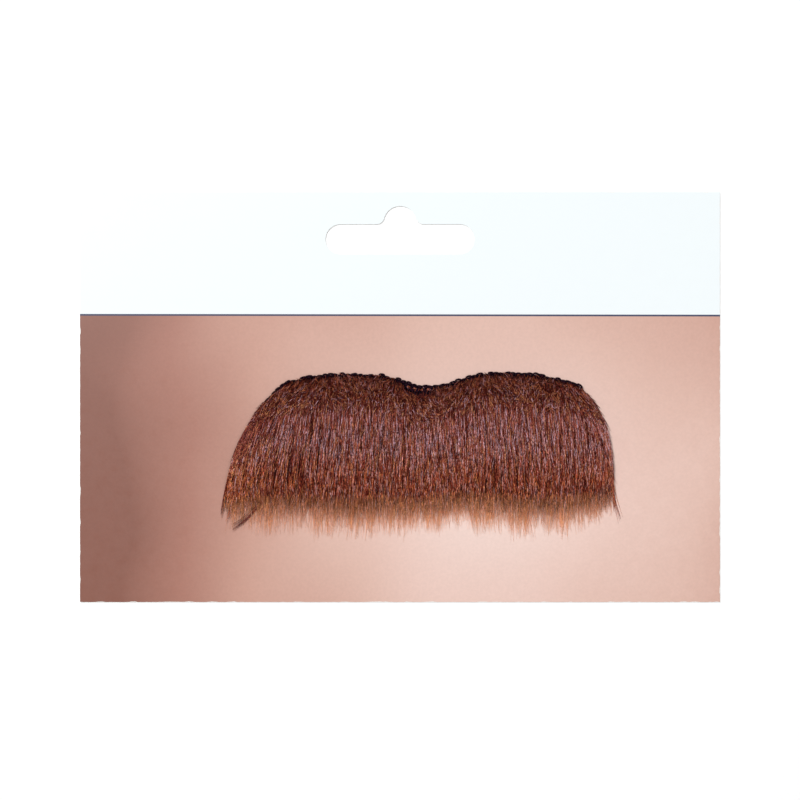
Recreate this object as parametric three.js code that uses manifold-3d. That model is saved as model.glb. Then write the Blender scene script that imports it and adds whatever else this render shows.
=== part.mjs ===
// A fake moustache on its display card, in millimetres, +Z up.
// The card lies on its back with its top edge towards +Y. The origin is the middle of the card's
// back face. The moustache is stuck to the card's front: a knitted ground, and on it a pile of
// hair that is combed towards -Y, in a heaped root mat with two tiers of locks.
import * as THREE from "three";
import { mergeVertices } from "three/addons/utils/BufferGeometryUtils.js";
import Module from "manifold-3d";

const wasm = await Module();
wasm.setup();

// Display card and its hanging slot
const cardWidth = 160;
const cardHeight = 102.5;
const cardThickness = 0.5;
const slotWidth = 37.3;
const slotHeight = 7.5;
const slotDrop = 11.8; // from the card's top edge down to the slot's middle line
const humpRadius = 4.1;
const humpRise = 4.2; // from the slot's middle line up to the middle of the peg's hump
const slotFillet = 2; // round where the hump meets the slot's upper edge

// Moustache: outline, place on the card, and heights above the card
const moustacheWidth = 98.5;
const moustacheLength = 36.7; // from the crown of the humps down to the tips
const moustacheShift = 4.5; // its middle lies this far right of the card's middle
const moustacheDrop = 45.5; // from the card's top edge down to the crown of the humps
const groundThickness = 1;
const groundMargin = 0.4; // how far the knitted ground shows above the roots
const groundReach = 0.6; // share of the hair's run that has the ground behind it
const groundLeft = 0.015; // share of the way across the hair at which the ground starts
const groundRight = 0.92; // share of the way across the hair at which the ground ends
const pileThickness = 7;
const tipClearance = 0.4; // from the card's front up to the hair beyond the ground
const fallStart = 0.65; // share of the hair's run at which its underside starts to come down
const fallEnd = 0.8; // share of the hair's run at which its underside is down

// Locks
const crownLocks = 23;
const fringeLocks = 27;
const sideRoom = 0.75; // from the hair's side to the middle of its first lock, in lock spaces
const lockRidge = 0.9; // height of a lock's ridge above its sides
const ridgeSunk = 0.35; // share of the ridge by which the sides lie inside the mat
const lockSink = 1; // how far a lock's underside lies inside the mat
const lockLift = 0.15; // a lock's underside stays this far above the mat's own
const tipThickness = 0.5;

// Stations across the moustache, from its left side to its right. Root and tip places are shares
// of the width from the left and shares of the length from the crown. Loft is a share of the
// pile's thickness. Sweep is how early a hair turns sideways before it hangs straight.
const STATIONS = [
  { rootAcross: 0.104, rootDrop: 0.209, tipAcross: 0.0, tipDrop: 0.985, loft: 0.42, sweep: 1.8 },
  { rootAcross: 0.173, rootDrop: 0.061, tipAcross: 0.1, tipDrop: 0.985, loft: 0.78, sweep: 1.6 },
  { rootAcross: 0.259, rootDrop: 0.017, tipAcross: 0.221, tipDrop: 0.99, loft: 0.95, sweep: 1.4 },
  { rootAcross: 0.34, rootDrop: 0.007, tipAcross: 0.322, tipDrop: 1.0, loft: 1.0, sweep: 1.3 },
  { rootAcross: 0.42, rootDrop: 0.027, tipAcross: 0.411, tipDrop: 0.99, loft: 0.97, sweep: 1.2 },
  { rootAcross: 0.5, rootDrop: 0.085, tipAcross: 0.5, tipDrop: 0.985, loft: 0.9, sweep: 1.2 },
  { rootAcross: 0.58, rootDrop: 0.075, tipAcross: 0.582, tipDrop: 0.955, loft: 0.92, sweep: 1.2 },
  { rootAcross: 0.66, rootDrop: 0.007, tipAcross: 0.668, tipDrop: 0.965, loft: 1.0, sweep: 1.3 },
  { rootAcross: 0.745, rootDrop: 0.005, tipAcross: 0.762, tipDrop: 0.99, loft: 1.0, sweep: 1.5 },
  { rootAcross: 0.83, rootDrop: 0.03, tipAcross: 0.857, tipDrop: 0.985, loft: 0.95, sweep: 2.0 },
  { rootAcross: 0.9, rootDrop: 0.081, tipAcross: 0.94, tipDrop: 0.955, loft: 0.8, sweep: 3.0 },
  { rootAcross: 0.937, rootDrop: 0.155, tipAcross: 1.0, tipDrop: 0.94, loft: 0.5, sweep: 3.8 },
];

// The pile's profile along a hair's run, from the root to the tip, as shares of its full height
const PROFILE = [
  { along: 0.0, height: 0.2 },
  { along: 0.07, height: 0.62 },
  { along: 0.18, height: 0.88 },
  { along: 0.34, height: 1.0 },
  { along: 0.52, height: 0.96 },
  { along: 0.7, height: 0.76 },
  { along: 0.86, height: 0.44 },
  { along: 1.0, height: 0.16 },
];

// One lock of each tier, from its root to its tip: its width as a share of the space between
// locks, and how far its ridge stands out as a share of the full ridge
const LOCK_SECTIONS = [
  { along: 0.0, width: 0.7, ridge: 0.1 },
  { along: 0.16, width: 1.0, ridge: 0.6 },
  { along: 0.38, width: 1.08, ridge: 1.0 },
  { along: 0.6, width: 1.02, ridge: 1.0 },
  { along: 0.8, width: 0.78, ridge: 0.8 },
  { along: 0.92, width: 0.46, ridge: 0.5 },
  { along: 1.0, width: 0.12, ridge: 0.15 },
];

// Where each tier of locks starts and ends along the run
const CROWN_TIER = { start: 0.03, end: 0.7 };
const FRINGE_TIER = { start: 0.4, end: 1.0 };

// The locks of a tier take these in turn, so that they are uneven: how far one ends short as a
// share of the run, how far its tip leans right and how much wider it is as shares of the space
// between locks, and its ridge as a share of the full one
const VARIATIONS = [
  { short: 0.0, lean: 0.15, wider: 0.25, ridge: 1.0 },
  { short: 0.06, lean: -0.25, wider: -0.1, ridge: 0.7 },
  { short: 0.02, lean: -0.05, wider: 0.1, ridge: 1.15 },
  { short: 0.09, lean: 0.3, wider: -0.15, ridge: 0.6 },
  { short: 0.03, lean: -0.3, wider: 0.3, ridge: 0.9 },
  { short: 0.075, lean: 0.1, wider: 0.0, ridge: 1.2 },
  { short: 0.01, lean: 0.25, wider: 0.15, ridge: 0.8 },
];

// Rows of points along the root mat, and its height there as a share of the pile's. It thins out
// where the hair gives way to separate locks.
const MAT_ROWS = [
  { along: 0.0, share: 1.0 },
  { along: 0.07, share: 1.0 },
  { along: 0.18, share: 1.0 },
  { along: 0.34, share: 1.0 },
  { along: 0.5, share: 1.0 },
  { along: 0.65, share: 0.97 },
  { along: 0.8, share: 0.8 },
  { along: 0.89, share: 0.45 },
];
const MAT_COLUMNS = 34;
const LOCK_COLUMNS = 5;
const finestEdge = 0.04; // what is shorter is closed up where locks are joined
const GROUND_STEPS = 48;
const ARC_STEPS = 10;

const cardTop = cardThickness;
const groundTop = cardTop + groundThickness;
const crownY = cardHeight / 2 - moustacheDrop;
const leftX = moustacheShift - moustacheWidth / 2;

// Smooth curves through the stations, each read with a share from 0 (left) to 1 (right)
const curveOf = (first, second) =>
  new THREE.CatmullRomCurve3(STATIONS.map((s) => new THREE.Vector3(s[first], s[second], 0)));
const rootCurve = curveOf("rootAcross", "rootDrop");
const tipCurve = curveOf("tipAcross", "tipDrop");
const formCurve = curveOf("loft", "sweep");

// A table's column at a share along the run, on straight lines between its rows
function readTable(table, column, along) {
  const next = table.findIndex((row) => row.along >= along);
  if (next <= 0) return table[next < 0 ? table.length - 1 : 0][column];
  const [low, high] = [table[next - 1], table[next]];
  const share = (along - low.along) / (high.along - low.along);
  return THREE.MathUtils.lerp(low[column], high[column], share);
}

// The place on the card of a hair at a share across the moustache and a share along its run
function onCard(across, along) {
  const root = rootCurve.getPoint(across);
  const tip = tipCurve.getPoint(across);
  const sweep = formCurve.getPoint(across).y;
  const turned = along < 0 ? 0 : 1 - (1 - Math.min(along, 1)) ** sweep;
  const x = THREE.MathUtils.lerp(root.x, tip.x, turned);
  const drop = THREE.MathUtils.lerp(root.y, tip.y, along);
  return new THREE.Vector2(leftX + x * moustacheWidth, crownY - drop * moustacheLength);
}

// Height of the pile's lower face, and of the pile above it. The lower face lies on the ground as
// far as that reaches, and then comes down towards the card.
function lowerHeight(along) {
  const share = THREE.MathUtils.clamp((along - fallStart) / (fallEnd - fallStart), 0, 1);
  return THREE.MathUtils.lerp(groundTop, cardTop + tipClearance, share);
}

function pileHeight(across, along) {
  const loft = formCurve.getPoint(across).x * readTable(PROFILE, "height", along);
  return Math.max(loft * pileThickness, tipThickness);
}

// A closed solid between two faces that are laid out on the same rows and columns of points
function loftedSolid(columns, rows, pointAt) {
  const positions = [];
  for (const face of ["upper", "lower"])
    for (let row = 0; row < rows; row++)
      for (let column = 0; column < columns; column++)
        positions.push(...pointAt(column / (columns - 1), row / (rows - 1), face).toArray());
  const upper = (column, row) => row * columns + column;
  const lower = (column, row) => rows * columns + upper(column, row);
  const faces = [];
  const quad = (a, b, c, d) => faces.push(a, b, c, a, c, d);
  for (let row = 0; row + 1 < rows; row++)
    for (let column = 0; column + 1 < columns; column++) {
      const [u, v] = [column + 1, row + 1];
      quad(upper(column, row), upper(column, v), upper(u, v), upper(u, row));
      quad(lower(column, row), lower(u, row), lower(u, v), lower(column, v));
    }
  for (let column = 0; column + 1 < columns; column++) {
    const u = column + 1;
    const last = rows - 1;
    quad(upper(column, 0), upper(u, 0), lower(u, 0), lower(column, 0));
    quad(upper(u, last), upper(column, last), lower(column, last), lower(u, last));
  }
  for (let row = 0; row + 1 < rows; row++) {
    const v = row + 1;
    const last = columns - 1;
    quad(upper(0, v), upper(0, row), lower(0, row), lower(0, v));
    quad(upper(last, row), upper(last, v), lower(last, v), lower(last, row));
  }
  return new THREE.BufferGeometry()
    .setAttribute("position", new THREE.Float32BufferAttribute(positions, 3))
    .setIndex(faces);
}

// The heaped mat of hair that the locks grow out of
function rootMat() {
  return loftedSolid(MAT_COLUMNS, MAT_ROWS.length, (across, down, face) => {
    const row = MAT_ROWS[Math.round(down * (MAT_ROWS.length - 1))];
    const place = onCard(across, row.along);
    const height = face === "upper" ? pileHeight(across, row.along) * row.share : 0;
    return new THREE.Vector3(place.x, place.y, lowerHeight(row.along) + height);
  });
}

// One lock: a tapering strip with a ridge along it, whose underside lies inside the mat
function lock(tier, middle, spacing, variation) {
  return loftedSolid(LOCK_COLUMNS, LOCK_SECTIONS.length, (side, down, face) => {
    const section = LOCK_SECTIONS[Math.round(down * (LOCK_SECTIONS.length - 1))];
    const along = THREE.MathUtils.lerp(tier.start, tier.end - variation.short, section.along);
    const width = section.width * (1 + variation.wider);
    const shift = (side - 0.5) * width + variation.lean * section.along ** 2;
    const place = onCard(middle + shift * spacing, along);
    const crown = 1 - (2 * side - 1) ** 2;
    const ridge = lockRidge * section.ridge * variation.ridge * (crown - ridgeSunk);
    const top = lowerHeight(along) + pileHeight(middle, along) + ridge;
    const floor = Math.max(lowerHeight(along) + lockLift, top - lockRidge - lockSink);
    const upper = Math.max(top, floor + tipThickness / 2);
    return new THREE.Vector3(place.x, place.y, face === "upper" ? upper : floor);
  });
}

// The locks of one tier side by side, with room at both sides for the widest of them
function tierOfLocks(tier, count) {
  const spacing = 1 / (count + 2 * sideRoom - 1);
  return Array.from({ length: count }, (_, i) =>
    lock(tier, (i + sideRoom) * spacing, spacing, VARIATIONS[i % VARIATIONS.length])
  );
}

// A closed geometry as a solid that can be joined to others, and back again
function toManifold(geometry) {
  const welded = mergeVertices(geometry, 1e-4);
  return new wasm.Manifold(
    new wasm.Mesh({
      numProp: 3,
      vertProperties: welded.attributes.position.array,
      triVerts: new Uint32Array(welded.index.array),
    })
  );
}

// Where locks nearly touch, a join leaves edges far shorter than any detail. Each is closed up
// where that leaves the surface closed: its ends may share only the two corners opposite it.
function closeShortEdges(corners, triangles) {
  const around = corners.map(() => new Set());
  for (const triangle of triangles) triangle.forEach((corner) => around[corner].add(triangle));
  const beside = (corner) => new Set([...around[corner]].flat());
  const closeEdge = (keep, drop) => {
    for (const triangle of [...around[drop]])
      if (triangle.includes(keep)) {
        triangle.forEach((corner) => around[corner].delete(triangle));
        triangles.delete(triangle);
      } else {
        triangle[triangle.indexOf(drop)] = keep;
        around[keep].add(triangle);
      }
  };
  const canClose = (keep, drop) => {
    if (corners[keep].distanceTo(corners[drop]) > finestEdge) return false;
    const besideKept = beside(keep);
    return [...beside(drop)].filter((corner) => besideKept.has(corner)).length === 4;
  };
  for (let closed = 1; closed > 0; ) {
    closed = 0;
    for (const triangle of triangles) {
      const [a, b, c] = triangle;
      const edge = [[a, b], [b, c], [c, a]].find((ends) => canClose(...ends));
      if (!edge) continue;
      closeEdge(...edge);
      closed += 1;
    }
  }
}

function toGeometry(manifold) {
  const mesh = manifold.getMesh();
  const corners = Array.from({ length: mesh.numVert }, (_, i) =>
    new THREE.Vector3().fromArray(mesh.vertProperties, 3 * i)
  );
  const triangles = new Set();
  for (let i = 0; i < mesh.numTri; i++) triangles.add([...mesh.triVerts.slice(3 * i, 3 * i + 3)]);
  closeShortEdges(corners, triangles);
  const places = [...triangles].flat().flatMap((corner) => corners[corner].toArray());
  const geometry = new THREE.BufferGeometry();
  geometry.setAttribute("position", new THREE.Float32BufferAttribute(places, 3));
  geometry.computeVertexNormals();
  return geometry;
}

function hairGeometry() {
  const locks = [...tierOfLocks(FRINGE_TIER, fringeLocks), ...tierOfLocks(CROWN_TIER, crownLocks)];
  return toGeometry(locks.reduce((pile, strip) => pile.add(toManifold(strip)), toManifold(rootMat())));
}

// The knitted ground: it shows as a narrow edge above the roots, and ends behind the hair
function groundGeometry() {
  const steps = Array.from({ length: GROUND_STEPS + 1 }, (_, i) => i / GROUND_STEPS);
  const inside = (share) => THREE.MathUtils.lerp(groundLeft, groundRight, share);
  const edge = steps.map((share) => {
    const along = rootCurve.getTangent(inside(share));
    const away = new THREE.Vector2(along.y * moustacheLength, along.x * moustacheWidth).normalize();
    return onCard(inside(share), 0).addScaledVector(away, groundMargin);
  });
  const foot = steps.map((share) => onCard(inside(1 - share), groundReach));
  const geometry = new THREE.ExtrudeGeometry(new THREE.Shape([...edge, ...foot]), {
    depth: groundThickness,
    bevelEnabled: false,
  });
  return geometry.translate(0, 0, cardTop);
}

// The slot's outline: a bar with round ends, and a round hump in its upper edge for a peg
function hangingSlot() {
  const half = slotHeight / 2;
  const straight = slotWidth / 2 - half;
  const filletX = Math.sqrt((humpRadius + slotFillet) ** 2 - (half + slotFillet - humpRise) ** 2);
  const meet = Math.atan2(half + slotFillet - humpRise, filletX);
  const quarter = Math.PI / 2;
  const path = new THREE.Path();
  path.moveTo(-straight, -half);
  path.absarc(straight, 0, half, -quarter, quarter, false);
  path.absarc(filletX, half + slotFillet, slotFillet, -quarter, meet - Math.PI, true);
  path.absarc(0, humpRise, humpRadius, meet, Math.PI - meet, false);
  path.absarc(-filletX, half + slotFillet, slotFillet, -meet, -quarter, true);
  path.absarc(-straight, 0, half, quarter, 3 * quarter, false);
  const middleY = cardHeight / 2 - slotDrop;
  return new THREE.Path(path.getPoints(ARC_STEPS).map((p) => new THREE.Vector2(p.x, p.y + middleY)));
}

function cardGeometry() {
  const sheet = new THREE.Shape();
  sheet.moveTo(-cardWidth / 2, -cardHeight / 2);
  sheet.lineTo(cardWidth / 2, -cardHeight / 2);
  sheet.lineTo(cardWidth / 2, cardHeight / 2);
  sheet.lineTo(-cardWidth / 2, cardHeight / 2);
  sheet.closePath();
  sheet.holes.push(hangingSlot());
  return new THREE.ExtrudeGeometry(sheet, { depth: cardThickness, bevelEnabled: false });
}

const coatedBoard = new THREE.MeshStandardMaterial({ color: 0xf6fcfc, roughness: 0.45, metalness: 0 });
const knittedYarn = new THREE.MeshStandardMaterial({ color: 0x1d0f14, roughness: 0.85, metalness: 0 });
const brownFibre = new THREE.MeshStandardMaterial({ color: 0x74432f, roughness: 0.5, metalness: 0 });

function named(name, geometry, material) {
  const mesh = new THREE.Mesh(geometry, material);
  mesh.name = name;
  return mesh;
}

const moustacheOnCard = new THREE.Group();
moustacheOnCard.add(
  named("card", cardGeometry(), coatedBoard),
  named("knitted_ground", groundGeometry(), knittedYarn),
  named("hair", hairGeometry(), brownFibre)
);

export default moustacheOnCard;
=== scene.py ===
# A bushy stick-on moustache on its display card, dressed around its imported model, in metres.
# The card keeps its solid and gets its printed finish. The hair's solid becomes a dark root mat
# under combed fibres, and the ground's solid becomes a knitted cloth with rows of stitches.
import math
from collections import namedtuple

import bmesh
import bpy
import numpy as np
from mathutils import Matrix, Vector
from mathutils.bvhtree import BVHTree


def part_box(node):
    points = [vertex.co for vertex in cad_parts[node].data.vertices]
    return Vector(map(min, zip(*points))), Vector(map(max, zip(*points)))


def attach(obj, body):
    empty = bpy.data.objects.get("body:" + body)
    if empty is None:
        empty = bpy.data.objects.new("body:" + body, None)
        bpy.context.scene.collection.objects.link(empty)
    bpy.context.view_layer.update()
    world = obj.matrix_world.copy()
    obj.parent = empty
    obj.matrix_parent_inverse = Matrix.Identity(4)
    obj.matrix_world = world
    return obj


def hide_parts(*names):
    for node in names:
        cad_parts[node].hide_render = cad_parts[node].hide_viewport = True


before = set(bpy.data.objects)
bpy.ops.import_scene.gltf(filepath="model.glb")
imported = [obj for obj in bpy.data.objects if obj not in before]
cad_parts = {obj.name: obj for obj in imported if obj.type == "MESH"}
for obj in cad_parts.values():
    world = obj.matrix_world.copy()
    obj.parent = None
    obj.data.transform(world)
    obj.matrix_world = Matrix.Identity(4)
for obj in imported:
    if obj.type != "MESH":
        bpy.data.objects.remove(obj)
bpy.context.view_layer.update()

MM = 0.001

# The view of the photograph: straight down, 800 pixels wide and high
PICTURE_PIXELS = 800
PIXEL = 0.25 * MM  # what a pixel spans on the card's front
LENS = 100  # millimetres, on a sensor 36 mm wide
SENSOR = 36
VIEW_CENTRE_Y = -0.75 * MM

# The card's print
RULE_DROP = 30.8 * MM  # from the card's top edge down to the thin rule
RULE_WIDTH = 0.45 * MM
RULE_SLOPE = 0.0012  # the sheet was cut very slightly out of square with its print

# The moustache's places are shares of the hair's box: across it from the left, and down it from
# the crown. A hair's along is its place between its root line, 0, and its tip line, 1.
Station = namedtuple("Station", "root_across root_drop tip_across tip_drop sweep")
STATIONS = [
    Station(0.100, 0.209, 0.000, 0.985, 2.3),
    Station(0.173, 0.061, 0.098, 0.985, 1.8),
    Station(0.259, 0.017, 0.221, 0.990, 1.4),
    Station(0.340, 0.007, 0.322, 1.000, 1.3),
    Station(0.420, 0.027, 0.411, 0.990, 1.2),
    Station(0.500, 0.085, 0.500, 0.985, 1.2),
    Station(0.580, 0.075, 0.582, 0.955, 1.2),
    Station(0.660, 0.007, 0.668, 0.965, 1.3),
    Station(0.745, 0.005, 0.762, 0.990, 1.5),
    Station(0.830, 0.030, 0.857, 0.985, 2.0),
    Station(0.900, 0.081, 0.940, 0.955, 3.0),
    Station(0.937, 0.155, 1.000, 0.940, 3.8),
]
GROUND_END = 0.65  # the hair has the ground under it as far as this along
FALL_END = 0.8  # and is down at the card's front from here on
GROUND_LEFT = 0.015  # the ground's sides, as shares of the way across the hair
GROUND_RIGHT = 0.92
SIDE_FALL = 0.06  # the hair comes down to the card over this share beside the ground
SIDE_ROUND = 7 * MM  # the pile rounds down to nothing over this width at its left and right ends
TIP_GAP = 0.2 * MM

# Places where the combed pile parts: from and to along each parting, and its width in millimetres
Cleft = namedtuple("Cleft", "from_across from_along to_across to_along width")
CLEFTS = [
    Cleft(0.168, 0.20, 0.178, 0.42, 0.35),
    Cleft(0.137, 0.46, 0.146, 0.72, 0.35),
    Cleft(0.162, 0.58, 0.168, 0.80, 0.30),
    Cleft(0.413, 0.30, 0.415, 0.48, 0.30),
    Cleft(0.428, 0.55, 0.430, 0.75, 0.30),
    Cleft(0.592, 0.17, 0.590, 0.45, 0.40),
    Cleft(0.664, 0.62, 0.661, 0.86, 0.50),
    Cleft(0.786, 0.74, 0.788, 0.90, 0.40),
    Cleft(0.796, 0.30, 0.795, 0.50, 0.30),
    Cleft(0.900, 0.30, 0.905, 0.62, 0.30),
    Cleft(0.925, 0.24, 0.975, 0.60, 0.35),
]

# The middle dip, where the pile starts lower and a second row of the knit shows
DIP_ACROSS = 0.452
DIP_HALF_WIDTH = 0.042
DIP_ALONG = 0.045

# Fibres. Strands and locks are shares of the moustache's width.
COMBED_COUNT = 8900  # in each quarter of the pile
CROWN_COUNT = 6500
FRINGE_COUNT = 4600
COMBED_RADIUS = 0.064 * MM
CROWN_RADIUS = 0.072 * MM
FRINGE_RADIUS = 0.039 * MM
TUFT_RADIUS = 0.085 * MM
WISP_RADIUS = 0.06 * MM
STRAND = 1 / 400
LOCK = 1 / 42
RINGS = 4  # points along a short fibre
LAST_START = 0.82  # along by which every combed fibre has come up through the pile
PILE_END = 0.875  # along at which the combed pile ends and the fringe is left
THINNEST_PILE = 0.3 * MM
LOWEST_FIBRE = 0.12 * MM  # above the card's front

# The fibres' own map has a column for each tone, and a hair's along up its height
SHADES = 128
ALONG_SPAN = 1.2
DARK = (0.0, 0.24)  # spans of the columns, each a family of tones that the fibres are dyed in
MIDDLE = (0.28, 0.62)
ORANGE = (0.66, 0.82)
PALE = (0.86, 0.99)

# The knitted edge
STITCHED = (0.012, 0.925)  # from and to across
STITCH_ROWS = (0.12 * MM, -1.3 * MM)  # how far each row lies above the root line
STITCH_PITCH = 1.4 * MM
YARN_RADIUS = 0.24 * MM

card_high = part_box("card")[1]
ground_low, ground_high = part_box("knitted_ground")
hair_low, hair_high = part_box("hair")
hair_width = hair_high[0] - hair_low[0]
hair_length = hair_high[1] - hair_low[1]


def deselect_all():
    bpy.ops.object.select_all(action="DESELECT")


def finished(piece, material, slot, *replaced):
    """Gives a piece its material and its place in the object, and hides the CAD nodes that it stands
    for.
    """
    piece.data.materials.clear()
    piece.data.materials.append(material)
    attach(piece, "root")
    if replaced:
        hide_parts(*replaced)
    return piece


# Camera, lights and floor


def camera():
    data = bpy.data.cameras.new("camera")
    data.lens = LENS
    data.sensor_width = SENSOR
    distance = PICTURE_PIXELS * PIXEL * LENS / SENSOR
    view = bpy.data.objects.new("camera", data)
    view.location = (0, VIEW_CENTRE_Y, card_high[2] + distance)
    bpy.context.scene.collection.objects.link(view)
    bpy.context.scene.camera = view


def softbox(name, place, size, power):
    """A square softbox that points at the middle of the card, its power in watts."""
    data = bpy.data.lights.new(name, "AREA")
    data.shape = "SQUARE"
    data.size = size
    data.energy = power
    lamp = bpy.data.objects.new(name, data)
    lamp.location = place
    lamp.rotation_euler = (-Vector(place)).to_track_quat("-Z", "Y").to_euler()
    bpy.context.scene.collection.objects.link(lamp)


def studio():
    """White paper under a key light from the upper left and a broad fill, in an even white room."""
    softbox("key_softbox", (-0.7, 0.68, 2.1), 0.56, 34)
    softbox("top_softbox", (0.5, -0.16, 2.1), 0.97, 9)
    world = bpy.data.worlds.new("studio")
    world.use_nodes = True
    background = world.node_tree.nodes["Background"]
    background.inputs["Color"].default_value = (1, 1, 1, 1)
    background.inputs["Strength"].default_value = 0.293
    bpy.context.scene.world = world
    bpy.context.scene.view_settings.view_transform = "Standard"
    deselect_all()
    bpy.ops.mesh.primitive_plane_add(size=6)
    floor = bpy.context.object
    floor.name = "studio_floor"
    floor.data.materials.append(studio_paper())


# Materials


def linear(hex_colour):
    """An sRGB colour such as #a0b1c2 as linear red, green, blue and alpha."""
    shares = [int(hex_colour[i : i + 2], 16) / 255 for i in (1, 3, 5)]
    return [s / 12.92 if s <= 0.04045 else ((s + 0.055) / 1.055) ** 2.4 for s in shares] + [1]


def add_node(material, kind, inputs=None, stops=(), **options):
    """Adds a node with its options, its values or links by socket, and its ramp's stops in order."""
    node = material.node_tree.nodes.new(kind)
    for name, value in options.items():
        setattr(node, name, value)
    for name, value in (inputs or {}).items():
        if isinstance(value, bpy.types.NodeSocket):
            material.node_tree.links.new(value, node.inputs[name])
        else:
            node.inputs[name].default_value = value
    if stops:
        elements = node.color_ramp.elements
        elements.remove(elements[1])
        elements[0].position = stops[0][0]
        for place, _ in stops[1:]:
            elements.new(place)
        for element, (_, colour) in zip(elements, stops):
            element.color = linear(colour)
    return node


def maths(material, operation, *values):
    """Adds a math node and returns its result."""
    node = add_node(material, "ShaderNodeMath", dict(enumerate(values)), operation=operation)
    return node.outputs[0]


def ranged(material, value, span, new_span):
    """Adds a map range node, which turns a span of values into a new one, and returns its result."""
    ends = dict(zip(("From Min", "From Max", "To Min", "To Max"), span + new_span))
    return add_node(material, "ShaderNodeMapRange", {"Value": value, **ends}).outputs[0]


def mixed(material, factor, first, second, blend_type="MIX"):
    """Adds a node that mixes colours and returns its result."""
    sockets = {0: factor, 6: first, 7: second}  # two of these have names that come more than once
    node = add_node(material, "ShaderNodeMix", sockets, data_type="RGBA", blend_type=blend_type)
    return node.outputs[2]


def new_material(name):
    material = bpy.data.materials.new(name)
    material.use_nodes = True
    return material, material.node_tree.nodes["Principled BSDF"]


def link(material, output, socket):
    material.node_tree.links.new(output, socket)


def emboss(material, surface, height, strength, depth):
    """Gives a material the relief of a pattern, as deep as depth."""
    inputs = {"Height": height, "Strength": strength, "Distance": depth}
    relief = add_node(material, "ShaderNodeBump", inputs)
    link(material, relief.outputs["Normal"], surface.inputs["Normal"])


def studio_paper():
    """Matt white background paper: no gloss, an even tone."""
    material, surface = new_material("matt_background_paper")
    surface.inputs["Base Color"].default_value = linear("#ffffff")
    surface.inputs["Roughness"].default_value = 0.9
    surface.inputs["Specular IOR Level"].default_value = 0.1
    return material


def printed_card():
    """Solid bleached board, offset printed and coated: a satin white header with a thin dark rule,
    a panel of soft skin tones below it, bare white edges and back, and print rubbed off the rim."""
    material, surface = new_material("offset_printed_coated_board")
    place = add_node(material, "ShaderNodeTexCoord").outputs["Object"]
    axes = add_node(material, "ShaderNodeSeparateXYZ", {"Vector": place}).outputs

    # Height above the rule, which runs a little out of square
    tilt = maths(material, "MULTIPLY", axes["X"], RULE_SLOPE)
    level = maths(material, "ADD", axes["Y"], tilt)
    above = maths(material, "SUBTRACT", level, card_high[1] - RULE_DROP)
    in_panel = maths(material, "LESS_THAN", above, 0.0)
    on_rule = maths(material, "COMPARE", above, 0.0, RULE_WIDTH / 2)

    # Panel: its tones drift in soft clouds and darken away from a spot at its lower right
    cloud = 55 * MM
    clouds = add_node(
        material,
        "ShaderNodeTexNoise",
        {"Vector": place, "Scale": 1 / cloud, "Detail": 1.5, "Roughness": 0.4},
    )
    centred = add_node(
        material,
        "ShaderNodeMapping",
        {"Vector": place, "Location": (-26 * MM, 20 * MM, 0), "Scale": (1.0, 0.85, 0.0)},
    )
    outward = add_node(material, "ShaderNodeVectorMath", {0: centred.outputs[0]}, operation="LENGTH")
    vignette = ranged(material, outward.outputs["Value"], (12 * MM, 100 * MM), (0.62, -0.1))
    panel = add_node(
        material,
        "ShaderNodeValToRGB",
        {"Fac": maths(material, "MULTIPLY_ADD", clouds.outputs["Fac"], 0.42, vignette)},
        [
            (0.1, "#86503f"),
            (0.25, "#a8705f"),
            (0.4, "#c79685"),
            (0.58, "#dab2a3"),
            (0.75, "#e6c4b8"),
            (0.9, "#ecd0c6"),
        ],
    )

    # The printing screen is far finer than this grain, which is as coarse as it needs to show
    grain_width = 0.7 * MM
    grain = add_node(
        material, "ShaderNodeTexNoise", {"Vector": place, "Scale": 1 / grain_width, "Detail": 2.0}
    ).outputs["Fac"]
    speckle = ranged(material, grain, (0.3, 0.7), (0.965, 1.02))
    grained = add_node(
        material,
        "ShaderNodeVectorMath",
        {0: panel.outputs["Color"], "Scale": speckle},
        operation="SCALE",
    )
    header = linear("#eef5f7")
    rule = linear("#26284f")
    fields = mixed(material, in_panel, header, grained.outputs[0])
    ruled = mixed(material, on_rule, fields, rule)

    # Print rubbed off the rim: the distance in from the nearest long or short edge
    from_middle = [maths(material, "ABSOLUTE", axes[axis]) for axis in "XY"]
    inward = [maths(material, "SUBTRACT", card_high[i], from_middle[i]) for i in (0, 1)]
    rim = maths(material, "MINIMUM", *inward)
    scuff_width = 2.5 * MM
    scuffs = add_node(
        material, "ShaderNodeTexNoise", {"Vector": place, "Scale": 1 / scuff_width, "Detail": 3.0}
    ).outputs["Fac"]
    widest_rub = 0.16 * MM
    rub = ranged(material, scuffs, (0.5, 0.7), (0.0, widest_rub))
    worn = maths(material, "LESS_THAN", rim, rub)

    # Below its coating the board is bare
    board = linear("#f3f1ec")
    coating = 0.05 * MM
    below = maths(material, "LESS_THAN", axes["Z"], card_high[2] - coating)
    front = mixed(material, worn, ruled, board)
    link(material, mixed(material, below, front, board), surface.inputs["Base Color"])
    sheen = ranged(material, scuffs, (0.3, 0.7), (0.33, 0.42))
    link(material, sheen, surface.inputs["Roughness"])
    emboss(material, surface, grain, 0.06, 0.05 * MM)
    return material


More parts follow.
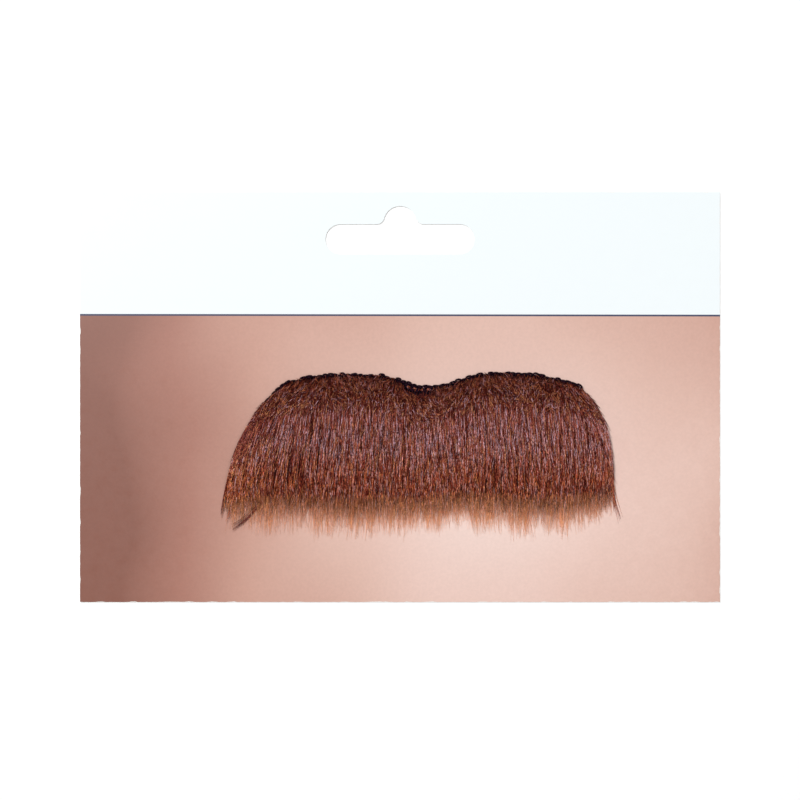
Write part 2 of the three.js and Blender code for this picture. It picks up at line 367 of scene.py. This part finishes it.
def dyed_fibre():
    """Modacrylic fibre, spun, dyed brown and combed: each fibre has its own tone, with painted shade
    where the mat shades it, painted golden light shining through where it thins out at its tip, and
    painted glints along it, with a cool gloss."""
    material, surface = new_material("dyed_modacrylic_fibre")
    own_map = add_node(material, "ShaderNodeUVMap", uv_map="OFBake").outputs["UV"]
    axes = add_node(material, "ShaderNodeSeparateXYZ", {"Vector": own_map}).outputs
    tone = add_node(
        material,
        "ShaderNodeValToRGB",
        {"Fac": axes["X"]},
        [
            (DARK[0], "#380f0a"),
            (DARK[1], "#803020"),
            (MIDDLE[0], "#9c4c3a"),
            (MIDDLE[1], "#c47660"),
            (ORANGE[0], "#b86e46"),
            (ORANGE[1], "#dca070"),
            (PALE[0], "#d8a498"),
            (1.0, "#d2b8cc"),
        ],
    )
    # Share of light that reaches a fibre, down the run: roots deep in the mat, tips in the open
    light = add_node(
        material,
        "ShaderNodeValToRGB",
        {"Fac": axes["Y"]},
        [
            (0.0, "#b0887c"),
            (0.1, "#ccb0aa"),
            (0.22, "#f4eaec"),
            (0.42, "#fffafa"),
            (0.6, "#f8dac4"),
            (1.0, "#ffffff"),
        ],
    )
    shaded = mixed(material, 1.0, tone.outputs["Color"], light.outputs["Color"], "MULTIPLY")
    # Golden towards the tips: painted light shining through the thin ends
    tip = ranged(material, axes["Y"], (0.68, 0.87), (0.0, 0.62))
    golden = mixed(material, tip, shaded, linear("#f2bd8c"))

    # Painted glints: each fibre turns in and out of the light, every 0.3 mm or so at the crown, where
    # it curls, and every 0.7 mm or so further down
    pace = maths(material, "POWER", axes["Y"], 0.6)
    paced = add_node(material, "ShaderNodeCombineXYZ", {"X": axes["X"], "Y": pace})
    turns = hair_length * ALONG_SPAN / (0.5 * MM)
    spread = add_node(
        material,
        "ShaderNodeMapping",
        {"Vector": paced.outputs[0], "Scale": (SHADES * 1.7, turns, 1.0)},
    )
    glints = add_node(
        material,
        "ShaderNodeTexNoise",
        {"Vector": spread.outputs[0], "Scale": 1.0, "Detail": 2.0, "Roughness": 0.6},
        noise_dimensions="2D",
    )
    # By socket number: what comes in, the ends of its span, and the colours that they turn into
    glint = add_node(
        material,
        "ShaderNodeMapRange",
        {
            6: glints.outputs["Fac"],
            7: (0.4, 0.4, 0.4),
            8: (0.62, 0.62, 0.62),
            9: (0.31, 0.18, 0.15),
            10: (2.0, 2.05, 2.08),
        },
        data_type="FLOAT_VECTOR",
    )
    # Fewer painted glints show where the fibres thin out and hang free, and the tips are painted
    # brighter, as light shining through them. Sockets 4 and 5 are the two vectors.
    calm = add_node(
        material,
        "ShaderNodeMix",
        {0: tip, 4: glint.outputs["Vector"], 5: (1.9, 1.95, 1.98)},
        data_type="VECTOR",
    )
    broken = add_node(
        material, "ShaderNodeVectorMath", {0: golden, 1: calm.outputs[1]}, operation="MULTIPLY"
    )
    link(material, broken.outputs[0], surface.inputs["Base Color"])
    surface.inputs["Roughness"].default_value = 0.3
    surface.inputs["IOR"].default_value = 1.52
    surface.inputs["Specular IOR Level"].default_value = 0.18
    surface.inputs["Specular Tint"].default_value = linear("#e4dcf4")
    return material


def root_mat():
    """The same fibre, matted at its roots: too fine to tell apart, and nearly black with shade."""
    material, surface = new_material("matted_fibre_roots")
    place = add_node(material, "ShaderNodeTexCoord").outputs["Object"]
    combed = add_node(
        material,
        "ShaderNodeMapping",
        {"Vector": place, "Scale": (1 / (0.3 * MM), 1 / (5 * MM), 1 / (1 * MM))},
    )
    strands = add_node(
        material,
        "ShaderNodeTexNoise",
        {"Vector": combed.outputs["Vector"], "Scale": 1.0, "Detail": 2.0},
    ).outputs["Fac"]
    stops = [(0.35, "#2a0a05"), (0.7, "#5c2112")]
    tone = add_node(material, "ShaderNodeValToRGB", {"Fac": strands}, stops)
    link(material, tone.outputs["Color"], surface.inputs["Base Color"])
    surface.inputs["Roughness"].default_value = 0.7
    surface.inputs["Specular IOR Level"].default_value = 0.25
    emboss(material, surface, strands, 0.8, 0.3 * MM)
    return material


def knitted_yarn():
    """Spun polyester yarn, warp knitted, dyed nearly black: matt, with the twist of its plies."""
    material, surface = new_material("knitted_polyester_yarn")
    place = add_node(material, "ShaderNodeTexCoord").outputs["Object"]
    twist_length = 1.385 * MM  # at scale 1, diagonal bands lie 2 pi / 10 apart along an axis
    twist = add_node(
        material,
        "ShaderNodeTexWave",
        {"Vector": place, "Scale": math.pi / 5 / twist_length, "Distortion": 3.0, "Detail": 2.0},
        bands_direction="DIAGONAL",
    ).outputs["Fac"]
    stops = [(0.0, "#0c030c"), (1.0, "#260c1c")]
    tone = add_node(material, "ShaderNodeValToRGB", {"Fac": twist}, stops)
    link(material, tone.outputs["Color"], surface.inputs["Base Color"])
    surface.inputs["Roughness"].default_value = 0.8
    surface.inputs["Specular IOR Level"].default_value = 0.08
    emboss(material, surface, twist, 0.5, 0.05 * MM)
    return material


# Places on the moustache


def curve_through(values):
    """A smooth curve through values at even steps, read out as a fine table from 0 to 1."""
    values = np.asarray(values)
    padded = np.concatenate([[2 * values[0] - values[1]], values, [2 * values[-1] - values[-2]]])
    last = len(values) - 1
    place = np.linspace(0, last, 20 * last + 1)
    low = np.minimum(place.astype(int), last - 1)
    part = place - low
    before, near, far, after = (padded[low + i] for i in range(4))
    bend = (2 * before - 5 * near + 4 * far - after) * part**2
    bend = bend + (3 * near - before - 3 * far + after) * part**3
    return 0.5 * (2 * near + (far - before) * part + bend)


station_curves = {name: curve_through([getattr(s, name) for s in STATIONS]) for name in Station._fields}


def at_station(name, across):
    table = station_curves[name]
    return np.interp(across, np.linspace(0, 1, len(table)), table)


def on_card(across, along):
    """x and y of hairs at a share across the moustache and an along of their run."""
    left = 1 - np.clip(along, 0, 1)
    turned = 1 - left ** at_station("sweep", across)
    root_x = at_station("root_across", across)
    x = root_x + (at_station("tip_across", across) - root_x) * turned
    x = x + across - np.clip(across, 0, 1)
    root_drop = at_station("root_drop", across)
    drop = root_drop + (at_station("tip_drop", across) - root_drop) * along
    return hair_low[0] + x * hair_width, hair_high[1] - drop * hair_length


def blurred(field, width):
    """A grid of heights, smoothed both ways over a bell curve of that many cells."""
    reach = np.arange(-3 * width, 3 * width + 1)
    bell = np.exp(-0.5 * (reach / width) ** 2)
    bell /= bell.sum()
    for axis in (0, 1):
        field = np.apply_along_axis(lambda line: np.convolve(line, bell, "same"), axis, field)
    return field


def measured_pile():
    """Returns a function that gives the height of the hair's solid at x and y, its locks evened
    out. Off the solid it falls to the height of the tips."""
    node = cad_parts["hair"]
    tree = BVHTree.FromObject(node, bpy.context.evaluated_depsgraph_get())
    step = 0.5 * MM
    margin = 12 * MM
    xs = np.arange(hair_low[0] - margin, hair_high[0] + margin, step)
    ys = np.arange(hair_low[1] - margin, hair_high[1] + margin, step)
    heights = np.full((len(xs), len(ys)), hair_low[2])
    for i, x in enumerate(xs):
        for j, y in enumerate(ys):
            hit = tree.ray_cast(Vector((x, y, 1)), Vector((0, 0, -1)))[0]
            if hit:
                heights[i, j] = hit.z
    heights = blurred(heights, 2)

    def height(x, y):
        # Held just inside the grid, so that there is a cell beyond
        column = np.clip((x - xs[0]) / step, 0, len(xs) - 1.001)
        row = np.clip((y - ys[0]) / step, 0, len(ys) - 1.001)
        i, j = column.astype(int), row.astype(int)
        right, up = column - i, row - j
        near = heights[i, j] * (1 - up) + heights[i, j + 1] * up
        far = heights[i + 1, j] * (1 - up) + heights[i + 1, j + 1] * up
        return near * (1 - right) + far * right

    return height


def smooth_step(value):
    value = np.clip(value, 0, 1)
    return value * value * (3 - 2 * value)


def floor_height(across, along):
    """Height of the hair's underside: on the ground, and down at the card's front past its sides
    and its lower edge."""
    left = (GROUND_LEFT - across) / SIDE_FALL
    right = (across - GROUND_RIGHT) / SIDE_FALL
    below = (along - GROUND_END) / (FALL_END - GROUND_END)
    fall = smooth_step(np.maximum(np.maximum(left, right), below))
    return ground_high[2] + (card_high[2] + TIP_GAP - ground_high[2]) * fall


def root_line(across):
    """Along of the pile's upper edge: lower in the middle dip, where a second row of the knit
    shows."""
    return DIP_ALONG * np.exp(-(((across - DIP_ACROSS) / DIP_HALF_WIDTH) ** 4))


def tip_line(across):
    """Along of the pile's lower edge: uneven, and higher at the right end."""
    uneven = 0.018 * np.sin(across * 61 + 1.5) + 0.012 * np.sin(across * 137)
    return uneven - 0.1 * smooth_step((across - 0.86) / 0.12)


def side_height(across):
    """Share of its height that the pile has near its left and right ends: it rounds down."""
    inward = np.clip(np.minimum(across, 1 - across) * hair_width / SIDE_ROUND, 0, 1)
    return np.sqrt(1 - (1 - inward) ** 2)


# Fibres


def even_shares(count, base, first):
    """A column of numbers from 0 to 1 that fill the span evenly, however many in a row are taken:
    digits of the count in a base, mirrored at the point. Columns in other bases are independent."""
    index = np.arange(first + 1, first + count + 1)
    shares, digit = np.zeros(count), 1 / base
    while index.any():
        shares += index % base * digit
        index //= base
        digit /= base
    return shares[:, None]


def waves(rng, count, length, size):
    """Sideways or upward wander of short fibres along their run: two slow waves, size in metres
    and length as a share of the run between crests."""
    run = np.linspace(0, 1, RINGS)[None]
    total = np.zeros((count, RINGS))
    for part, share in ((1.0, 0.65), (1.9, 0.35)):
        phase = rng.uniform(0, 2 * math.pi, (count, 1))
        pace = 2 * math.pi * part / (length * rng.uniform(0.75, 1.35, (count, 1)))
        total += share * np.sin(run * pace + phase)
    return total * size * rng.uniform(0.4, 1.3, (count, 1))


def unit(vectors):
    """Vectors at a length of one; next to nothing is added, so that none is divided by nothing."""
    return vectors / (np.linalg.norm(vectors, axis=-1, keepdims=True) + 1e-12)


def around_path(paths, tangent, upright, angles, radii):
    """Corners of tubes around paths, at angles that start beside the path and turn to its top."""
    side = unit(np.cross(tangent, upright))
    top = np.cross(side, tangent)
    spoke = np.cos(angles)[:, None] * side[:, :, None] + np.sin(angles)[:, None] * top[:, :, None]
    return paths[:, :, None] + radii * spoke


def new_piece(name, points, faces):
    """A smooth mesh as an object at the origin."""
    mesh = bpy.data.meshes.new(name)
    mesh.from_pydata(points.reshape(-1, 3), [], faces)
    mesh.shade_smooth()
    piece = bpy.data.objects.new(name, mesh)
    bpy.context.scene.collection.objects.link(piece)
    return piece


def tubes(name, paths, radii, shade, along):
    """Fibres as one mesh: closed three-sided tubes along paths, which is fibres by rings by xyz.
    Their own map has a fibre's shade across it and its along up it."""
    count, rings, _ = paths.shape
    sides = 3
    tangent = unit(np.gradient(paths, axis=1))
    angles = math.pi / 2 + np.arange(sides) * 2 * math.pi / sides
    points = around_path(paths, tangent, [0.02, 0.03, 1.0], angles, radii[:, :, None, None])
    number = np.arange(count * rings * sides).reshape(count, rings, sides)
    turned = np.roll(number, -1, axis=2)
    walls = np.stack([number[:, :-1], number[:, 1:], turned[:, 1:], turned[:, :-1]], axis=-1)
    caps = np.concatenate([number[:, 0], number[:, -1, ::-1]])
    piece = new_piece(name, points, walls.reshape(-1, 4).tolist() + caps.tolist())

    inset = 0.15  # share of its column that a fibre leaves clear on either side
    column = (np.floor(shade * SHADES).clip(0, SHADES - 1) + inset) / SHADES
    step = (1 - 2 * inset) / SHADES / sides
    level = np.clip(along / ALONG_SPAN, 0, 0.999)[:, :, None]
    u = column[:, None, None] + step * np.arange(sides) + 0 * level
    v = level + 0 * u
    left, right = u[:, :-1], u[:, :-1] + step
    near, far = v[:, :-1], v[:, 1:]
    corners = [(left, near), (left, far), (right, far), (right, near)]
    wall_map = np.stack([np.stack(corner, axis=-1) for corner in corners], axis=-2)
    cap_maps = [np.stack([u[:, end], v[:, end]], axis=-1) for end in (0, -1)]
    whole_map = np.concatenate([part.reshape(-1, 2) for part in (wall_map, *cap_maps)])
    layer = piece.data.uv_layers.new(name="OFBake")
    layer.uv.foreach_set("vector", whole_map.astype(np.float32).ravel())
    return piece


def tapered(rng, count, rings, radius, tip):
    """Radii of fibres that hold their width and then run out to a tip, a share of it."""
    run = np.linspace(0, 1, rings)[None]
    taper = 1 - (1 - tip) * np.clip((run - 0.55) / 0.45, 0, 1) ** 1.5
    return radius * rng.uniform(0.75, 1.25, (count, 1)) * taper


def fibre_tones(kind, shade, dark, middle, orange):
    """Shades of fibres. Dark, middle and orange are the chances that a fibre is one of these; the
    rest are pale, from pink to lavender, a painted highlight of fibres that turn to the light. Kind
    and shade are columns of numbers from 0 to 1 that settle them."""
    kind, shade = kind[:, 0], shade[:, 0]
    index = (kind > dark).astype(int) + (kind > dark + middle) + (kind > dark + middle + orange)
    low, high = np.array([DARK, MIDDLE, ORANGE, PALE])[index].T
    return low + (high - low) * shade


def lay(across, along, depth, pile_height, sideways, upward):
    """Paths of fibres at depths from 0, on the ground, to 1, on the pile's surface, with their
    sideways and upward wander in metres."""
    x, y = on_card(across, along)
    run_x, run_y = np.gradient(x, axis=1), np.gradient(y, axis=1)
    pace = np.hypot(run_x, run_y) + 1e-9
    x = x - run_y / pace * sideways
    y = y + run_x / pace * sideways
    floor = floor_height(across, along)
    pile = np.maximum(pile_height(x, y) - floor, THINNEST_PILE) * side_height(across)
    height = floor + pile * depth + upward
    return np.stack([x, y, np.maximum(height, card_high[2] + LOWEST_FIBRE)], axis=-1)


def parted(place, along):
    """How far the pile is parted at places across and along it, from 0 to 1."""
    most = 0
    for cleft in CLEFTS:
        share = (along - cleft.from_along) / (cleft.to_along - cleft.from_along)
        middle = cleft.from_across + (cleft.to_across - cleft.from_across) * share
        away = (place - middle) * hair_width / (cleft.width * MM)
        most = np.maximum(most, smooth_step(4 * np.minimum(share, 1 - share)) * np.exp(-(away**2)))
    return most


def gathered(across, start, along, run, straight):
    """Places across of combed fibres once they are drawn into fine strands and broader locks, and
    how far each point lies beside the middle of its lock, as a share of the lock."""
    # Strands change places 17 times down the run, so that none runs on from crown to tip
    offset = np.modf(np.floor(start * 17) * 0.37)[0]
    middle = (np.floor(across / STRAND + offset) - offset + 0.5) * STRAND
    place = across + (middle - across) * (0.25 - 0.1 * straight) * smooth_step(run * 1.2)
    drift = 0.35 * np.sin(across * 37) + 0.5 * np.sin(along * 5 + across * 11)
    beside = np.modf(place / LOCK + drift + 2)[0] - 0.5
    return place - beside * LOCK * 0.16 * smooth_step(along * 1.6), beside


def combed_tones(kinds, shades, across, along, straight, beside, opened):
    """Shades of combed fibres: more are dark at the crown, in the grooves and in the partings, as
    painted shade, more are pale where the pile faces the light, as a painted highlight, and more are
    orange at the tips, as painted light shining through the thin ends, and at the left end."""
    at = along.mean(axis=1)
    straight = straight[:, 0]
    # Painted highlight: a band of pale fibres where the pile faces the light
    sheen = np.exp(-(((at - 0.42) / 0.22) ** 2))
    # Painted shade at the edges of locks, in the grooves between them
    groove = (2 * np.abs(beside.mean(axis=1))) ** 3
    left_end = np.exp(-((across[:, 0] / 0.09) ** 2))
    golden = 0.25 * left_end * smooth_step((at - 0.3) / 0.35)
    # Painted shade: more dark fibres away from the highlight, in the grooves and in the partings
    dark = 0.28 + 0.08 * (1 - sheen) + 0.07 * groove + 0.6 * opened.mean(axis=1)
    # and at the crown, where the roots lie in shade
    dark += 0.3 * np.exp(-((at / 0.12) ** 2)) + 0.03 * straight
    dark += 0.3 * left_end * smooth_step((0.7 - at) / 0.3)
    middle = 0.42 - 0.1 * sheen - 0.16 * straight - 0.8 * golden
    # Orange at the tips: painted light shining through the thin ends
    orange = 0.1 + 0.07 * straight + 0.25 * smooth_step((at - 0.8) / 0.1) + golden
    return fibre_tones(kinds, shades, dark, middle, orange)


def combed_fibres(name, seed, pile_height, first, last):
    """The combed pile over a share of the moustache: fibres that come up through the pile, weave
    over and under each other on it and end free, gathered into fine strands and broader locks."""
    count = COMBED_COUNT
    rng = np.random.default_rng(seed)
    run = np.linspace(0, 1, RINGS)[None]
    places, starts, kinds, shades, levels = (
        even_shares(count, base, seed * count) for base in (2, 3, 5, 7, 11)
    )
    across = first + (last - first) * places
    start = starts**0.9 * LAST_START + root_line(across)
    at_crown = np.exp(-((start / 0.11) ** 2))
    reach = rng.uniform(0.075, 0.19, (count, 1)) * (1 - 0.45 * at_crown)
    lowest_end = rng.normal(PILE_END, 0.055, (count, 1)) + tip_line(across)
    end = np.minimum(start + reach, lowest_end)
    start = np.minimum(start, end - 0.06)
    along = start + (end - start) * run
    straight = smooth_step(((start + end) / 2 - 0.45) / 0.3)  # they straighten out down the run
    place, beside = gathered(across, start, along, run, straight)

    # Stray fibres lean far more than the rest, and all lean more at the crown and less at the ends
    stray = rng.uniform(0, 1, (count, 1)) < 0.14
    lean = rng.normal(0, 1, (count, 1)) * np.where(stray, 0.7, 0.12) * (1 + 2 * at_crown)
    from_side = np.minimum(across, 1 - across)
    lean = lean * np.clip(from_side / 0.08, 0.35, 1) * (1 - 0.5 * straight)
    sideways = waves(rng, count, 1.0, 0.07 * MM) * (1 - 0.6 * straight) + lean * MM * run

    # They come up from below, lie at levels of their own, lower in grooves, and sink to the fringe
    level = 0.885 + 0.16 * levels - 0.06 * (2 * np.abs(beside)) ** 3 * smooth_step(along * 2)
    depth = level - 0.2 * (1 - smooth_step(run / 0.3)) - 0.1 * at_crown
    depth = depth - 0.2 * smooth_step((along - 0.74) / 0.2)
    opened = parted(place, along)
    upward = waves(rng, count, 1.0, 0.18 * MM) - 0.8 * MM * opened
    paths = lay(np.clip(place, 0.006, 0.994), along, depth, pile_height, sideways, upward)
    radii = tapered(rng, count, RINGS, COMBED_RADIUS, 0.35) * (1 + 0.1 * straight)
    shade = combed_tones(kinds, shades, across, along, straight, beside, opened)
    return tubes(name, paths, radii, shade, along)


def fringe_fibres(name, seed, pile_height):
    """The thin uneven fringe that the longest fibres make below the pile."""
    count = FRINGE_COUNT
    rng = np.random.default_rng(seed)
    run = np.linspace(0, 1, RINGS)[None]
    across = 0.02 + 0.97 * even_shares(count, 2, 0)
    start = rng.uniform(0.58, 0.8, (count, 1))
    end = 0.87 + 0.28 * rng.beta(1.6, 2.1, (count, 1)) + tip_line(across)
    along = start + (end - start) * run
    depth = rng.uniform(0.25, 0.9, (count, 1)) * np.ones_like(along)
    lean = rng.normal(0, 0.8, (count, 1))
    sideways = (waves(rng, count, 1.1, 0.35 * MM) + lean * MM * run) * smooth_step(run)
    paths = lay(across + 0 * along, along, depth, pile_height, sideways, 0)
    radii = tapered(rng, count, RINGS, FRINGE_RADIUS, 0.35)
    kinds, shades = even_shares(count, 5, 0), even_shares(count, 7, 0)
    shade = fibre_tones(kinds, shades, dark=0.2, middle=0.14, orange=0.42)
    return tubes(name, paths, radii, shade, along)


def crown_fibres(name, seed, pile_height):
    """Short fibres at the crown that fan out and curl, with their ends over the knitted edge. In
    the middle dip they start lower, so that more of the knit shows."""
    count = CROWN_COUNT
    rng = np.random.default_rng(seed)
    run = np.linspace(0, 1, RINGS)[None]
    root = even_shares(count, 2, 0)
    clumps = 0.5 + 0.5 * np.sin(root * 354 + 3 * np.sin(root * 83))
    clumps = clumps * (1 - root_line(root) / DIP_ALONG)
    start = 0.22 * rng.beta(0.9, 1.3, (count, 1)) + 0.003 - 0.03 * clumps + 1.2 * root_line(root)
    fan = 0.5 * np.sin(root * 29 + 0.6)
    heading = fan + rng.normal(0, 0.4, (count, 1)) + rng.normal(0, 0.55, (count, 1)) * run
    length = rng.uniform(1.4, 3.4, (count, 1)) * MM
    across = root + np.cumsum(np.sin(heading), 1) / RINGS * length / hair_width
    along = start + np.cumsum(np.cos(heading), 1) / RINGS * length / hair_length
    depth = rng.uniform(0.9, 1.15, (count, 1)) * smooth_step(0.4 + run * 1.4)
    sideways = rng.normal(0, 0.04 * MM, (count, RINGS))
    upward = rng.normal(0.1 * MM, 0.1 * MM, (count, RINGS))
    paths = lay(np.clip(across, 0.004, 0.996), along, depth, pile_height, sideways, upward)
    radii = tapered(rng, count, RINGS, CROWN_RADIUS, 0.4)
    kinds, shades = even_shares(count, 5, 0), even_shares(count, 7, 0)
    shade = fibre_tones(kinds, shades, dark=0.54, middle=0.06, orange=0.27)
    raised = 0.06  # they lie on top, so they are lit as fibres a little further down
    return tubes(name, paths, radii, shade, np.maximum(along, 0) + raised)


def root_tufts(name, seed, pile_height):
    """Fibres that come up in tufts between the two rows of stitches that show in the middle dip."""
    rng = np.random.default_rng(seed)
    per_tuft = 9
    pitch = 1.9 * MM
    run = np.linspace(0, 1, RINGS)[None]
    middle = np.repeat(np.arange(0.405, 0.505, pitch / hair_width), per_tuft)[:, None]
    count = len(middle)
    heading = rng.normal(0, 0.5, (count, 1))
    length = rng.uniform(0.5, 1.0, (count, 1)) * MM
    across = middle + rng.normal(0, 0.3 * MM, (count, 1)) / hair_width
    across = across + np.sin(heading) * length * run / hair_width
    along = 0.01 + rng.normal(0, 0.15 * MM, (count, 1)) / hair_length
    along = along + np.cos(heading) * length * run / hair_length
    upward = 0.35 * MM * np.sin(run * math.pi) + rng.uniform(0, 0.15 * MM, (count, 1))
    paths = lay(across, along, 0, pile_height, 0, upward)
    radii = tapered(rng, count, RINGS, TUFT_RADIUS, 0.6)
    kinds, shades = even_shares(count, 5, 0), even_shares(count, 7, 0)
    shade = fibre_tones(kinds, shades, dark=0.1, middle=0.3, orange=0.3)
    raised = 0.1  # nothing lies over them, so they are lit as fibres further down
    return tubes(name, paths, radii, shade, along + raised)


# Single long wisps: where each leaves the pile and ends, its bow sideways, its fibres and the
# share of them that are dark
Wisp = namedtuple("Wisp", "from_across from_along to_across to_along bow fibres dark")
WISPS = [
    Wisp(0.104, 0.80, 0.026, 1.110, 0.013, 16, 0.85),
    Wisp(0.010, 0.60, 0.000, 1.010, 0.000, 12, 0.85),
    Wisp(0.032, 0.74, 0.011, 1.050, 0.003, 8, 0.30),
    Wisp(0.968, 0.55, 1.012, 1.130, 0.000, 8, 0.35),
    Wisp(0.982, 0.60, 0.997, 1.000, 0.002, 12, 0.50),
    Wisp(0.290, 0.85, 0.280, 1.080, -0.004, 5, 0.00),
    Wisp(0.486, 0.84, 0.478, 1.100, 0.004, 5, 0.00),
    Wisp(0.650, 0.85, 0.643, 1.100, 0.003, 5, 0.00),
    Wisp(0.820, 0.85, 0.826, 1.080, -0.003, 5, 0.00),
]


def wisps(name, seed, pile_height):
    rng = np.random.default_rng(seed)
    rings = 10
    run = np.linspace(0, 1, rings)[None]
    rows = [w for w in WISPS for _ in range(w.fibres)]
    count = len(rows)
    column = {field: np.array([[getattr(w, field)] for w in rows]) for field in Wisp._fields}
    loose = rng.normal(0, 0.003, (count, 1)) * (1 - 0.8 * run)
    across = column["from_across"] + (column["to_across"] - column["from_across"]) * run + loose
    across += column["bow"] * np.sin(run * math.pi)
    reach = rng.uniform(0.8, 1.0, (count, 1))
    along = column["from_along"] + (column["to_along"] - column["from_along"]) * run * reach
    depth = 1.02 - 0.5 * smooth_step((along - 0.7) / 0.3)
    sideways = rng.normal(0, 0.2 * MM, (count, 1)) * run
    paths = lay(across, along, depth, pile_height, sideways, 0.15 * MM)
    radii = tapered(rng, count, rings, WISP_RADIUS, 0.15)
    dark = column["dark"][:, 0]
    kinds, shades = even_shares(count, 5, 0), even_shares(count, 7, 0)
    shade = fibre_tones(kinds, shades, dark, 0.7 * (1 - dark), 0.3 * (1 - dark))
    lit = np.where(column["dark"] > 0, 0.4, 0.8) + 0.3 * run  # as fibres this far along
    return tubes(name, paths, radii, shade, lit)


def matted_core(pile_height):
    """The root mat under the fibres: a fine grid, extruded to a slab and laid along the hair's
    run, a little lower than the pile and ended where the fibres thin out into the fringe."""
    deselect_all()
    bpy.ops.mesh.primitive_grid_add(x_subdivisions=110, y_subdivisions=44, size=1)
    core = bpy.context.object
    core.name = core.data.name = "matted_roots"
    bpy.ops.object.mode_set(mode="EDIT")
    bpy.ops.mesh.select_all(action="SELECT")
    bpy.ops.mesh.extrude_region_move(TRANSFORM_OT_translate={"value": (0, 0, 1)})
    bpy.ops.mesh.select_all(action="SELECT")
    bpy.ops.mesh.normals_make_consistent(inside=False)
    bpy.ops.object.mode_set(mode="OBJECT")
    place = np.empty(3 * len(core.data.vertices))
    core.data.vertices.foreach_get("co", place)
    place = place.reshape(-1, 3)  # x and y from -0.5 to 0.5, and z from 0 to 1
    across = 0.5 + 0.97 * place[:, 0]
    along = 0.4 - 0.775 * place[:, 1] + 1.4 * root_line(across) * (0.5 + place[:, 1])
    x, y = on_card(across, along)
    floor = floor_height(across, along)
    fill, sink, thinnest = 0.88, 0.3 * MM, 0.05 * MM
    pile = (pile_height(x, y) - floor) * side_height(across) * fill - sink
    height = floor + np.maximum(pile, thinnest) * place[:, 2].clip(0, 1)
    core.data.vertices.foreach_set("co", np.stack([x, y, height], axis=-1).ravel())
    core.data.shade_smooth()
    return core


# Knitted ground


def ground_cloth():
    """The knitted cloth that the fibres are rooted in, with softened edges."""
    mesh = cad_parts["knitted_ground"].data.copy()
    mesh.name = "ground_cloth"
    cloth = bpy.data.objects.new("ground_cloth", mesh)
    bpy.context.scene.collection.objects.link(cloth)
    work = bmesh.new()
    work.from_mesh(cloth.data)
    bmesh.ops.remove_doubles(work, verts=work.verts, dist=0.002 * MM)
    bmesh.ops.dissolve_limit(
        work, angle_limit=math.radians(1), verts=work.verts[:], edges=work.edges[:]
    )
    rim = [e for e in work.edges if len(e.link_faces) == 2 and e.calc_face_angle() > math.radians(60)]
    bmesh.ops.bevel(work, geom=rim, offset=0.3 * MM, segments=3, affect="EDGES", profile=0.6)
    work.to_mesh(cloth.data)
    work.free()
    bpy.context.view_layer.objects.active = cloth
    # Drawn in all round, so that the stitches stand clear of it
    draw_in = cloth.modifiers.new("draw_in", "DISPLACE")
    draw_in.mid_level = 0
    draw_in.strength = -0.22 * MM
    bpy.ops.object.modifier_apply(modifier=draw_in.name)
    cloth.data.shade_smooth()
    return cloth


def yarn_loops(name, paths):
    """Closed loops of yarn as one mesh, along paths, which is loops by points by xyz."""
    count, points_around, _ = paths.shape
    sides = 5
    tangent = unit(np.roll(paths, -1, axis=1) - np.roll(paths, 1, axis=1))
    angles = np.arange(sides) * 2 * math.pi / sides
    points = around_path(paths, tangent, [0, 0, 1.0], angles, YARN_RADIUS)
    number = np.arange(count * points_around * sides).reshape(count, points_around, sides)
    beyond = np.roll(number, -1, axis=1)
    turned = [np.roll(corners, -1, axis=2) for corners in (beyond, number)]
    faces = np.stack([number, beyond, *turned], axis=-1)
    return new_piece(name, points, faces.reshape(-1, 4).tolist())


def stitch_rows(name, seed):
    """Rows of closed yarn loops along the ground's upper edge, each loop through the last one."""
    rng = np.random.default_rng(seed)
    fine = np.linspace(*STITCHED, 1200)
    edge = np.stack(on_card(fine, np.zeros_like(fine)), axis=-1)
    tangent = unit(np.gradient(edge, axis=0))
    normal = np.stack([-tangent[:, 1], tangent[:, 0]], -1)
    turn = np.linspace(0, 2 * math.pi, 10, endpoint=False)
    paths = []
    for row, lift in enumerate(STITCH_ROWS):
        line = edge + normal * lift
        length = np.concatenate([[0], np.cumsum(np.linalg.norm(np.diff(line, axis=0), axis=1))])
        first = 0.3 * MM + row % 2 * STITCH_PITCH / 2
        for place in np.arange(first, length[-1], STITCH_PITCH):
            at = int(np.searchsorted(length, place))
            skew = rng.normal(0, 0.2)
            along = tangent[at] + skew * normal[at]
            across = normal[at] - skew * tangent[at]
            centre = line[at] + across * rng.normal(0, 0.17 * MM)
            half_long = STITCH_PITCH * rng.uniform(0.35, 0.6)
            half_wide = 0.16 * MM * rng.uniform(0.6, 2.2)
            ring = centre + np.outer(np.cos(turn), half_long * along)
            ring = ring + np.outer(np.sin(turn), half_wide * across)
            height = ground_high[2] - 0.05 * MM + 0.16 * MM * np.cos(turn)
            paths.append(np.column_stack([ring, height + rng.normal(0, 0.04 * MM)]))
    return yarn_loops(name, np.array(paths))


# The object

camera()
studio()

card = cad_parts["card"]
card.data.materials.clear()
card.data.materials.append(printed_card())

yarn = knitted_yarn()
cloth = finished(ground_cloth(), yarn, "knitted_yarn", "knitted_ground")
finished(stitch_rows("edge_stitches", 3), yarn, "knitted_yarn")

pile_height = measured_pile()
fibre = dyed_fibre()
finished(matted_core(pile_height), root_mat(), "brown_fibre", "hair")
for i, quarter in enumerate(("left", "left_middle", "right_middle", "right")):
    piece = combed_fibres(f"combed_hair_{quarter}", 11 + i, pile_height, i / 4, (i + 1) / 4)
    finished(piece, fibre, "brown_fibre")
finished(fringe_fibres("thin_fringe", 21, pile_height), fibre, "brown_fibre")
finished(crown_fibres("crown_fibres", 31, pile_height), fibre, "brown_fibre")
finished(root_tufts("root_tufts", 35, pile_height), fibre, "brown_fibre")
finished(wisps("loose_wisps", 41, pile_height), fibre, "brown_fibre")
